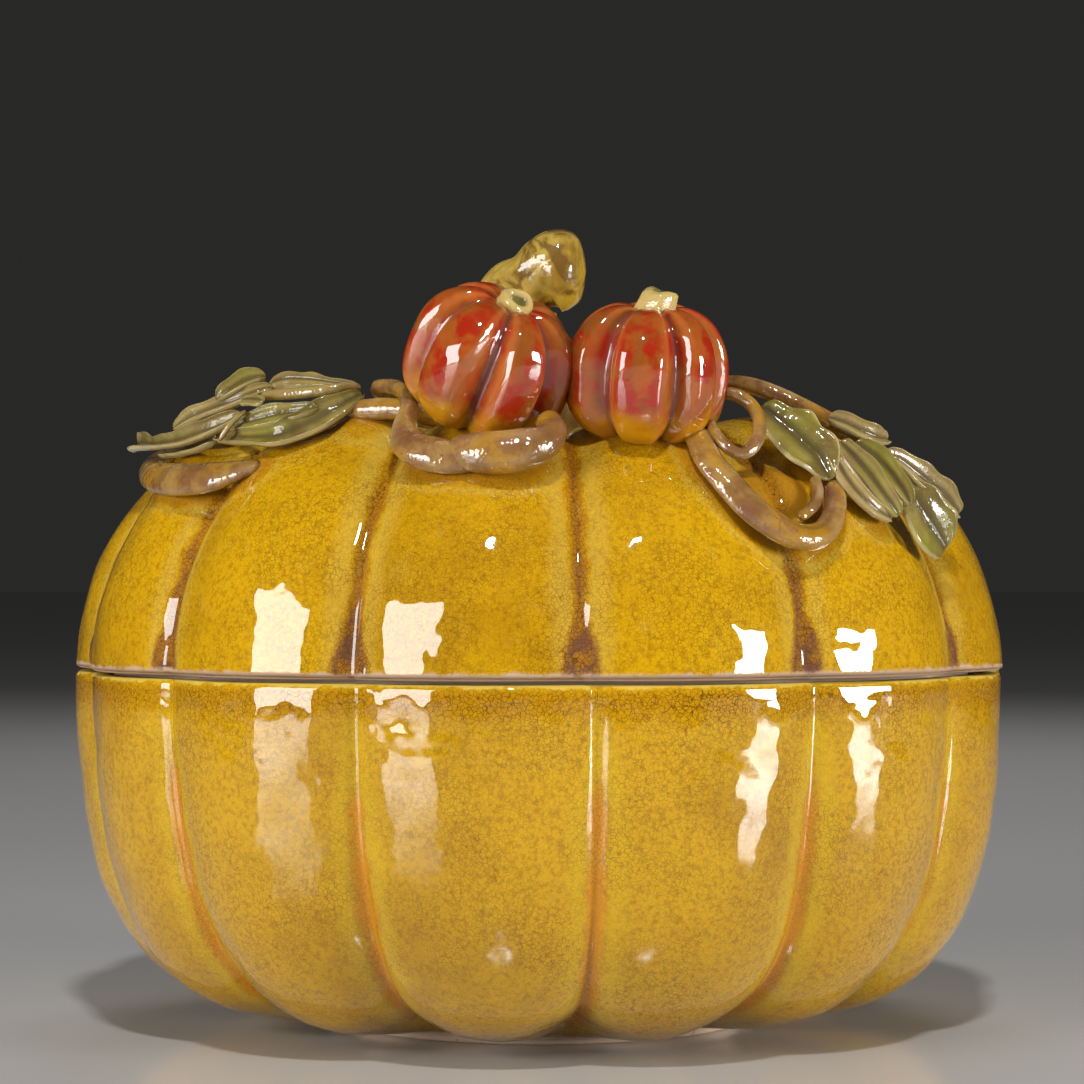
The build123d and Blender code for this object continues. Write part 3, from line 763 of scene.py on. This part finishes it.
def make_lid(material, samples):
    crest = lid_crest(0.0)
    shares = [0.35 + 0.65 * float(smooth(radius, 8.0, 52.0)) for radius, _, _, _ in crest]
    rows, aparts = glazed_rows(crest, shares, LID_GROOVES, 29)
    stains = []
    for index, (radius, height, out, up) in enumerate(crest):
        halo = near_clay(rows[index], samples)
        pad = pad_rise(rows[index])
        lift = 0.9 * halo**2 + pad + drip_rise(height - SEAM, aparts[index])
        x, y = polar(out, AZIMUTHS)
        rows[index] = rows[index] + np.stack([x, y, np.full(AROUND, up)], -1) * lift[:, None]
        stains.append(np.maximum(halo, 0.35 * pad))
    bottom = SEAM + GAP
    rim = rim_rows(rows[-1], bottom, -1)
    inner = inner_rim(bottom, -1)
    rows += rim + inner
    aparts += [aparts[-1]] * len(rim) + [FLAT] * len(inner)
    for radius, height, _, _ in reversed(lid_crest(WALL)):
        if height > bottom + EDGE:
            rows.append(inside_ring(radius, height, LID_GROOVES))
            aparts.append(FLAT)
    stains += [np.zeros(AROUND)] * (len(rows) - len(stains))
    fields = {"apart": np.array(aparts), "stain": np.array(stains)}
    piece = mesh_piece("lid_glazed", np.array(rows), True, fields)
    finish_piece(piece, material, "lid", ["lid_shell"])


def make_ring(name, profile, material, body, node, seed):
    """A turned clay ring from a closed profile of (radius, height), slightly uneven."""
    points = np.array([ring(radius, height) for radius, height in profile])
    points[..., :2] *= (1 + 0.0006 * wobble(points, 60.0, seed))[..., None]
    piece = mesh_piece(name, points.transpose(1, 0, 2), False)
    finish_piece(piece, material, body, [node])


def rounded_profile(low_radius, high_radius, low, high, edge):
    """A rectangle of (radius, height) with rounded corners."""
    right, left = high_radius - edge, low_radius + edge
    top, bottom = high - edge, low + edge
    corners = ((right, top, 0), (left, top, 90), (left, bottom, 180), (right, bottom, 270))
    return [
        (radius + edge * cos(radians(start + angle)), height + edge * sin(radians(start + angle)))
        for radius, height, start in corners
        for angle in (0, 30, 60, 90)
    ]


# -------- small pumpkins and stems
SMALL_HALF_HEIGHT = 16.2


def own_frame(axis):
    """Sideways, backwards and up of a piece that stands along an axis."""
    up = np.array(axis, float)
    up /= np.linalg.norm(up)
    side = np.cross([0.0, 1.0, 0.0], up)
    side /= np.linalg.norm(side)
    return np.stack([side, np.cross(up, side), up])


def small_pumpkin(node, centre, axis, radius, grooves, material, seed):
    """A small lobed pumpkin, dimpled where its stem stands."""
    azimuth = np.arange(196) * 360 / 196
    apart, half, number = lobes(azimuth, grooves)
    share = apart / half
    swell = 1 + 0.035 * np.sin(number * 2.1 + seed)
    sink = 0.20 * smooth(share, 0.62, 0.04) + 0.05 * (1 - share) ** 2
    rows, levels = [], []
    for latitude in np.linspace(-88, 88, 84):
        lean = radians(latitude)
        power = 2 / 2.9 if latitude < 0 else 2 / 2.3
        width = cos(lean) ** power
        rise = np.sign(latitude) * abs(sin(lean)) ** power
        hold = 0.5 + 0.5 * float(smooth(np.array(width), 0.15, 0.6))
        reach = radius * width * swell * (1 - sink * hold)
        x, y = polar(reach, azimuth)
        height = SMALL_HALF_HEIGHT * (rise - 0.10 * rise * sink / 0.25 * width)
        if latitude > 0:
            height = height - 3.2 * np.exp(-((reach / 5.5) ** 2)) * rise
        rows.append(np.stack([x, y, height], -1))
        levels.append(np.full(len(azimuth), rise))
    local = np.array(rows)
    outwards = local / (np.linalg.norm(local, axis=-1)[..., None] + 1e-6)
    local += outwards * (0.16 * wobble(local, 11.0, seed))[..., None]
    points = local @ own_frame(axis) + np.array(centre)
    fields = {"apart": np.broadcast_to(share, points.shape[:2]).copy(), "level": np.array(levels)}
    piece = mesh_piece(f"{node}_glazed", points, True, fields)
    finish_piece(piece, material, "lid", [node])


def stem(node, centre, axis, profile, sides, material, seed, lean=(0.0, 0.0)):
    """A short stem from a profile of (radius, height), round or cut flat on a few sides."""
    azimuth = np.arange(72) * 360 / 72
    if sides:
        slice_turn = 360 / sides
        flat = cos(pi / sides) / np.cos(np.radians((azimuth % slice_turn) - slice_turn / 2))
        outline = 0.35 + 0.65 * flat
    else:
        outline = 1 + 0.05 * np.sin(np.radians(azimuth * 3 + seed * 40))
    rows = []
    tallest = max(height for _, height in profile)
    for radius, height in profile:
        x, y = polar(radius * outline, azimuth)
        tilt = height / tallest
        cut = 0.12 * radius * np.sin(np.radians(azimuth * 2 + seed * 70)) * tilt
        rows.append(np.stack([x + lean[0] * tilt, y + lean[1] * tilt, height + cut], -1))
    local = np.array(rows)
    local += 0.12 * wobble(local, 4.0, seed)[..., None] * np.array([1.0, 1.0, 0.6])
    points = local @ own_frame(axis) + np.array(centre)
    ridge = np.array([np.full(len(azimuth), 0.7 if radius > 2.2 else 0.05) for radius, _ in profile])
    piece = mesh_piece(f"{node}_glazed", points, True, {"ridge": ridge})
    finish_piece(piece, material, "lid", [node])


# -------- what is laid on the lid
# A station is (azimuth, foot radius, lift off the lid, half width, half thickness).
VINES = {  # then the ridges, their depth, their turns and a seed; and the tint
    "left_root_vine": ([
        (-60, 14, 3, 3.4, 3), (-50, 32, 3.8, 3.2, 2.8), (-41, 50, 5, 3, 2.6), (-35, 64, 6.2, 2.6, 2.3),
        (-31, 72, 6.2, 2.2, 2),
    ], (3, 0.1, 1.2, 1), PLAIN),
    "left_coil_vine": ([
        (-12, 93.5, 4, 2.6, 2.4), (-9, 95, 4.4, 4.4, 3.8), (-6, 95.5, 4.6, 5.2, 4.2),
        (-3, 95.2, 4.6, 5.2, 4.2), (0, 93.5, 4.5, 4.6, 3.8), (1.4, 90, 4.2, 3.6, 3.2),
        (0.6, 86, 4, 2.6, 2.6),
    ], (2, 0.09, 0.7, 2), PLAIN),
    "left_vine_stub": ([
        (-33, 79.5, 2.5, 2.3, 2.1), (-29.5, 79.5, 2.6, 2.6, 2.35), (-24.5, 79.5, 2.6, 2.6, 2.35),
        (-21.5, 80, 2.5, 2, 1.9),
    ], (2, 0.07, 0.3, 3), PLAIN),
    "left_loop_vine": ([
        (-33, 71, 6.5, 1.6, 1.6), (-28, 72.5, 6.5, 1.8, 1.7), (-23.5, 77, 5.6, 1.9, 1.8),
        (-20.5, 82, 4.6, 2.1, 2), (-19.8, 87, 3.6, 2.6, 2.2), (-18.5, 91.5, 3.2, 3.8, 2.8),
        (-15.5, 94.3, 3.2, 4.4, 3.2), (-11.5, 95.5, 3.2, 4.2, 3), (-8, 95.5, 3, 2.8, 2.4),
    ], (2, 0.1, 0.8, 4), PLAIN),
    "left_shoulder_vine": ([
        (-88, 90, 2, 2.2, 2), (-78, 94.5, 2.4, 3.4, 2.6), (-66, 97.5, 2.6, 4.2, 2.8),
        (-56, 98.5, 2.6, 4.6, 2.8), (-49, 98, 2.2, 4.4, 2.5), (-45.5, 96.5, 1.6, 3.4, 1.9),
        (-42, 94.5, 0.8, 1.6, 1.1),
    ], (2, 0.05, 0.15, 5), PLAIN),
    "left_tendril": ([
        (-49.5, 93, 6.4, 0.6, 0.6), (-48, 90.5, 8.4, 0.7, 0.7), (-47, 87.5, 9, 0.6, 0.6),
    ], (2, 0.08, 0.5, 6), (0.5, 1.0, 0.95, 0.0)),
    "left_petiole": ([
        (-48.5, 82, 8.5, 1.2, 1.2), (-41.5, 82, 8.5, 1.3, 1.3), (-35.5, 80, 8, 1.3, 1.3),
        (-33, 75, 6.5, 1.2, 1.2),
    ], (3, 0.07, 0.8, 7), (0.5, 1.0, 0.85, 0.0)),
    "right_root_vine": ([
        (62, 14, 3, 3.4, 3), (53, 32, 4, 3.2, 2.8), (44, 50, 5.8, 2.8, 2.4), (38, 66, 7.4, 2.2, 2),
        (37.5, 73.5, 7.6, 2, 1.9), (39, 79.5, 7.5, 2, 1.9), (41.5, 84, 7.5, 2.2, 1.9),
        (44.5, 88, 7.2, 2.6, 2.1), (47.2, 91.5, 6.8, 2.5, 2.1), (49, 94, 6.3, 1.3, 1.1),
    ], (3, 0.12, 1.6, 8), PLAIN),
    "right_vine": ([
        (22.5, 86, 3, 2.8, 2.2), (22.5, 91, 3, 3.2, 2.2), (22.5, 96, 3, 3.4, 2.2),
        (24, 100.5, 3, 3.6, 2.3), (26, 104, 2.8, 3.6, 2.3), (29, 106.5, 2.6, 3.4, 2.3),
        (32, 107.5, 2.5, 3.1, 2.3), (35, 107, 2.5, 2.8, 2.3), (37.5, 105, 2.5, 2.6, 2.2),
        (39.3, 102, 2.8, 2.5, 2.1), (40, 98.5, 3.2, 2.1, 1.9),
    ], (3, 0.13, 0.35, 9), PLAIN),
    "right_inner_vine": ([
        (37, 99, 3.5, 1.2, 1.2), (36.5, 101.5, 3.2, 1.4, 1.3), (35, 103.5, 2.6, 1.4, 1.3),
        (32.5, 105, 1.8, 1.1, 1),
    ], (2, 0.1, 0.6, 10), PLAIN),
    "right_curl": ([
        (24.5, 88, 5, 1.3, 1.3), (24.2, 91, 5.2, 1.4, 1.4), (25, 94.2, 5, 1.45, 1.45),
        (26.8, 95.6, 5, 1.5, 1.5), (29, 94.2, 6.5, 1.5, 1.5), (30.6, 91, 8, 1.5, 1.5),
        (30.8, 87.5, 9.2, 1.6, 1.5), (29.4, 85, 9.8, 1.6, 1.5), (27.6, 83.5, 9.2, 1.4, 1.4),
    ], (2, 0.08, 1.0, 11), PLAIN),
}
LEAF_HALF = 1.05  # half thickness of a leaf, where its station doesn't say
LEAVES = {  # then the cup, crease, ripple, waves, rim and a seed; and the tint
    "left_cut_stub": ([
        (-51, 84.5, 9, 1.2), (-47.5, 85, 9.5, 1.5), (-44.5, 85.5, 9.5, 1.6),
    ], (0.1, 0.0, 0.0, 1, 0.1, 1), (0.5, 0.8, 0.55, 0.45)),
    "left_low_leaf": ([
        (-72, 93, 3.6, 1.2), (-64, 93, 4, 1.8), (-58, 92, 4, 2), (-53.5, 91, 4.4, 1.3),
    ], (0.5, 0.15, 0.14, 4, 0.8, 15), (0.6, 0.2, 0.3, 0.55)),
    "left_front_leaf": ([
        (-54, 90.5, 4.4, 0.9, 0.9), (-49.5, 90.5, 4.2, 1.6), (-44.5, 90.5, 4, 2.1), (-40.5, 90, 3.8, 2.9),
        (-38, 88, 3.7, 3.7), (-35.5, 85, 3.9, 4.1), (-33.5, 82, 4.2, 3.4), (-32.5, 79, 4.6, 2.4),
        (-32, 76, 4.8, 1.1),
    ], (0.35, 0.06, 0.07, 4, 0.9, 2), (0.4, 0.09, 0.75, 0.0)),
    "left_middle_leaf": ([
        (-50.5, 89.5, 6.2, 1, 1), (-47, 88, 6.2, 2.3), (-43, 86.5, 6.2, 2.9), (-39, 85.5, 6.2, 2.3),
        (-35.5, 84, 6, 1.1, 1),
    ], (0.25, 0.22, 0.08, 2, 0.6, 3), (0.45, 0.25, 0.45, 0.0)),
    "left_tip_leaf": ([
        (-79.5, 94, 8.6, 2.8), (-75.5, 93.5, 8.0, 2.5), (-69, 93.5, 7.2, 1.6), (-61, 93, 7, 2.1),
        (-56, 91.5, 7, 2.5), (-52, 89, 7, 2.1), (-49.5, 86.5, 7.4, 0.9, 0.9),
    ], (0.6, 0.12, 0.1, 4, 0.8, 4), (0.15, 0.12, 0.35, 0.2)),
    "left_back_leaf": ([
        (-64, 91, 8.5, 0.9, 0.9), (-61.5, 89, 9, 2), (-58.5, 87, 9, 2.3), (-54.5, 85, 9, 2),
        (-51.5, 82.5, 9, 1.8), (-49.5, 79, 8.5, 1.3),
    ], (0.4, 0.2, 0.12, 3, 0.6, 5), (0.2, 0.2, 0.2, 0.5)),
    "left_top_leaf": ([
        (-50.5, 79, 9.4, 1.2), (-48.5, 77, 9.8, 2.3), (-45.5, 76, 9.4, 2.6), (-42, 75, 8.5, 1.9),
        (-38.5, 74, 7.5, 1.3), (-35, 73, 7, 0.9, 0.9),
    ], (-0.3, 0.25, 0.12, 3, 0.5, 6), (0.3, 0.2, 0.1, 0.35)),
    "left_curled_leaf": ([
        (-56, 85.5, 10.5, 0.9, 0.9), (-54.5, 83.5, 11.2, 2.2), (-53, 81, 11.6, 2.6),
        (-51.5, 78.5, 11.2, 1.8),
    ], (0.6, 0.15, 0.1, 2, 0.6, 7), (0.6, 0.35, 0.45, 0.1)),
    "right_broad_leaf": ([
        (34.4, 84.5, 6.5, 2.6), (35.6, 89, 6.4, 5.5), (37, 93, 6, 6.7), (38.2, 96.5, 5.5, 5.6),
        (38.5, 100.2, 4.6, 2.2),
    ], (0.18, 0.14, 0.09, 3, 0.5, 8), (0.4, 0.22, 0.6, 0.0)),
    "right_finger_leaf_1": ([
        (40.5, 93.5, 6.5, 1.6), (40.5, 98.5, 6, 2.3), (41.5, 102, 5.2, 2.2), (44, 104.5, 4.4, 1.9),
        (47, 105.5, 3.4, 1.1, 1),
    ], (0.3, 0.18, 0.07, 2, 0.6, 9), (0.1, 0.2, 0.0, 0.85)),
    "right_finger_leaf_2": ([
        (42.5, 94.5, 7.5, 2.2), (44, 98.5, 7, 3.1), (45.5, 102.5, 6.2, 2.9), (47.5, 105.5, 4.8, 1.6),
    ], (0.3, 0.18, 0.08, 2, 0.6, 10), (0.95, 0.14, 0.75, 0.3)),
    "right_finger_leaf_3": ([
        (45, 95, 8.4, 2.4), (47.5, 98.5, 8, 3.1), (49, 102, 7.2, 2.7), (50, 104.5, 6, 1.4),
    ], (0.3, 0.2, 0.1, 2, 0.6, 11), (0.45, 0.2, 0.6, 0.0)),
    "right_tip_leaf": ([
        (51, 101, 6.5, 2.4), (52, 103.5, 6, 5.2), (53, 105.5, 5.4, 6.8), (54.4, 107.2, 4.4, 6.8),
        (56.2, 108.8, 3.4, 4.6),
    ], (0.2, 0.15, 0.07, 2, 0.5, 12), (0.72, 0.18, 0.75, 0.0)),
    "right_upper_leaf": ([
        (43, 90, 9.2, 1.7), (45, 92, 9.8, 2.3), (46.5, 93.5, 10, 2.5), (48.8, 94.8, 9.9, 2.3),
        (51.5, 95, 9.6, 1.3, 1),
    ], (0.5, 0.25, 0.1, 2, 0.6, 13), (0.5, 0.2, 0.3, 0.55)),
    "right_back_leaf": ([
        (48.5, 97.5, 9, 1.5), (51, 99, 9.3, 2.6), (54, 101.5, 8.8, 3.4), (57.5, 103.5, 8, 3.5),
        (61, 105.5, 6.5, 1.9),
    ], (0.35, 0.22, 0.1, 3, 0.6, 14), (0.7, 0.15, 0.25, 0.5)),
}
STALK_ROUTE = [  # x, y, height above the seam, half width, half thickness, roll
    (0.0, 0.0, 54.5, 14.5, 14.5, 0), (-1.0, 0.0, 59.0, 12.0, 12.0, 6), (-2.8, 0.0, 67.0, 10.8, 10.8, 14),
    (-5.0, -0.2, 77.0, 10.2, 10.2, 20), (-6.6, -0.6, 85.0, 10.2, 10.0, 26), (-6.9, -1.2, 90.0, 10.0, 9.6, 30),
    (-5.6, -1.8, 93.8, 8.9, 8.4, 34), (-2.4, -2.6, 96.2, 7.0, 8.0, 38), (0.6, -3.0, 98.0, 8.6, 9.2, 42),
    (3.6, -3.5, 99.0, 10.2, 10.0, 46), (6.4, -4.0, 99.2, 10.0, 9.8, 50), (8.8, -4.3, 99.2, 8.4, 8.4, 54),
    (10.4, -4.5, 99.2, 5.8, 6.0, 58), (11.2, -4.6, 99.2, 2.6, 2.8, 60),
]


def stalk_section(along, width, thickness):
    """Six uneven ridges, deepest at the root and softer towards the cut end."""
    turn = np.linspace(0, 2 * pi, STALK_COLUMNS, endpoint=False)[None]
    depth = 0.12 - 0.08 * smooth(along, 0.45, 0.75)[:, None] - 0.03 * smooth(along, 0.85, 1.0)[:, None]
    ridges = np.abs(np.sin(3 * turn + 0.25 * np.sin(turn + 1.0)))
    swell = ridges**0.8 - 0.62
    reach = 1 + depth * swell * 1.4 + 0.03 * np.sin(2 * turn + 5 * along[:, None])
    fade = smooth(along, 0.50, 0.72)[:, None]
    return oval(width, thickness, reach, turn), ridges * (1 - fade) + 0.55 * fade


def make_stalk(material):
    rows = spline([(x, y, SEAM + z, *rest) for x, y, z, *rest in STALK_ROUTE], 110)
    normals = np.tile([0.0, -1.0, 0.0], (len(rows), 1))
    piece = sweep("stalk_glazed", rows, normals, stalk_section, 0.5, 2.0)
    finish_piece(piece, material, "lid", ["stalk"])


def lay_clay(table, material, section, front, ends):
    """Makes each vine or leaf of a table, and returns sample points along them with their reach."""
    places, reaches = [], []
    for node, (stations, shape, tint) in table.items():
        full = [(*station, LEAF_HALF)[:5] for station in stations]
        route, normals = dome_route(full, 84, front)
        piece = sweep(f"{node}_glazed", route, normals, section(*shape), *ends, tint)
        finish_piece(piece, material, "lid", [node])
        places.append(route[::4, :3])
        reaches.append(route[::4, 4])
    return np.concatenate(places), np.concatenate(reaches)


# -------- make everything
AMBER_BOWL = amber_glaze("amber_glaze_bowl", False)
AMBER_LID = amber_glaze("amber_glaze_lid", True)
BARE = bare_clay()
CREAM_SKIN = cream_glaze()
VINE_SKIN = vine_glaze()
LEAF_SKIN = leaf_glaze()

vine_samples = lay_clay(VINES, VINE_SKIN, vine_section, 0.0, (1.6, 1.6))
leaf_samples = lay_clay(LEAVES, LEAF_SKIN, leaf_section, 1.0, (2.0, 2.0))
make_stalk(stalk_glaze())

LEFT_CENTRE, LEFT_AXIS = (-11.3, -82.0, SEAM + 71.8), (0.35, -0.39, 0.85)
RIGHT_CENTRE, RIGHT_AXIS = (23.9, -79.2, SEAM + 69.5), (0.06, -0.20, 0.98)
LEFT_GROOVES = [4, 63, 110, 158, 206, 253, 299]
RIGHT_GROOVES = [25, 70, 118, 168, 222, 272, 320]
small_pumpkin("left_small_pumpkin", LEFT_CENTRE, LEFT_AXIS, 18.9, LEFT_GROOVES,
              red_glaze("red_glaze_left", 3.0), 3)
small_pumpkin("right_small_pumpkin", RIGHT_CENTRE, RIGHT_AXIS, 18.5, RIGHT_GROOVES,
              red_glaze("red_glaze_right", 8.0), 8)


def crown(centre, axis, rise):
    """The point on a small pumpkin's axis at this height over its middle."""
    return np.array(centre) + own_frame(axis)[2] * rise


NUB = [  # radius and height, up the outside and down into its hollow end
    (5.2, 0.0), (4.4, 1.2), (3.9, 2.8), (3.9, 4.2), (3.6, 5.0), (3.0, 5.3), (2.3, 5.0), (1.9, 4.2),
    (1.5, 3.4), (0.6, 3.0),
]
STUB = [(6.4, 0.0), (5.4, 1.4), (4.9, 3.0), (4.6, 4.8), (4.3, 6.4), (3.6, 7.0), (1.8, 7.1), (0.5, 7.1)]
stem("left_small_stem", crown(LEFT_CENTRE, LEFT_AXIS, 11.6), (0.45, -0.60, 0.66), NUB, 0, CREAM_SKIN, 2)
stem("right_small_stem", crown(RIGHT_CENTRE, RIGHT_AXIS, 11.4), (0.18, -0.20, 0.96), STUB, 5,
     CREAM_SKIN, 5, lean=(1.2, 0.0))

make_bowl(AMBER_BOWL)
make_lid(AMBER_LID, [np.concatenate(pair) for pair in zip(vine_samples, leaf_samples)])

flange_low, flange_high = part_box("lid_flange")
flange = rounded_profile(FLANGE_INNER, FLANGE_OUTER, flange_low.z / MM, flange_high.z / MM, 1.4)
make_ring("lid_flange_clay", flange, BARE, "lid", "lid_flange", 5)
foot = rounded_profile(FOOT_INNER, FOOT_OUTER, TABLE / MM, FOOT_HIGH.z / MM + SINK, 0.9)
make_ring("foot_ring_clay", foot, BARE, "base", "foot_ring", 6)


# -------- studio
def studio_floor():
    """A pale floor, large enough to fade into the dim studio behind the object."""
    mesh = bpy.data.meshes.new("studio_floor")
    corners = [(x, y, TABLE) for x, y in ((-9, -4), (9, -4), (9, 14), (-9, 14))]
    mesh.from_pydata(corners, [], [(0, 1, 2, 3)])
    floor = add("studio_floor", mesh)
    look = Shader("studio_floor", (0.56, 0.55, 0.54))
    look.over(look.noise(3.0, 2, 0.5), (0.59, 0.58, 0.57))
    mesh.materials.append(look.surface(Roughness=0.16))


def softbox(name, azimuth, elevation, distance, width, height, watts):
    """A flat lamp that faces the middle of the object."""
    aim = Vector((0, 0, SEAM * MM))
    turn, lift = radians(azimuth), radians(elevation)
    offset = Vector((sin(turn) * cos(lift), -cos(turn) * cos(lift), sin(lift))) * distance
    lamp = bpy.data.lights.new(name, "AREA")
    lamp.shape = "RECTANGLE"
    lamp.size, lamp.size_y = width, height
    lamp.energy = watts
    holder = add(name, lamp)
    holder.location = aim + offset
    holder.rotation_euler = (-offset).to_track_quat("-Z", "Y").to_euler()
    return holder


studio_floor()
softbox("left_softbox", -50, 10.7, 1.3, 0.68, 0.60, 15)
softbox("right_softbox", 64, 6, 1.3, 0.42, 0.32, 14)
softbox("top_softbox", 2, 54, 1.6, 0.10, 0.10, 14)
softbox("back_softbox", 172, 40, 1.6, 0.90, 0.60, 9).visible_glossy = False  # fill light only
world = bpy.data.worlds.new("studio")
bpy.context.scene.world = world
world.use_nodes = True
background = world.node_tree.nodes["Background"].inputs
background["Color"].default_value = (1.0, 0.98, 0.95, 1.0)
background["Strength"].default_value = 0.022

# the camera: 805 mm from the pumpkin's axis, 25 mm above the seam, looking a little upwards
CAMERA_DISTANCE = 0.805
CAMERA_RISE = 25.3
lens = bpy.data.cameras.new("camera")
lens.sensor_width = 36.0
lens.lens = 107.2
camera = add("camera", lens)
camera.location = (0.0, -CAMERA_DISTANCE, (SEAM + CAMERA_RISE) * MM)
camera.rotation_euler = (radians(90.454), 0.0, radians(-0.018))
bpy.context.scene.camera = camera
bpy.context.scene.view_settings.view_transform = "Standard"
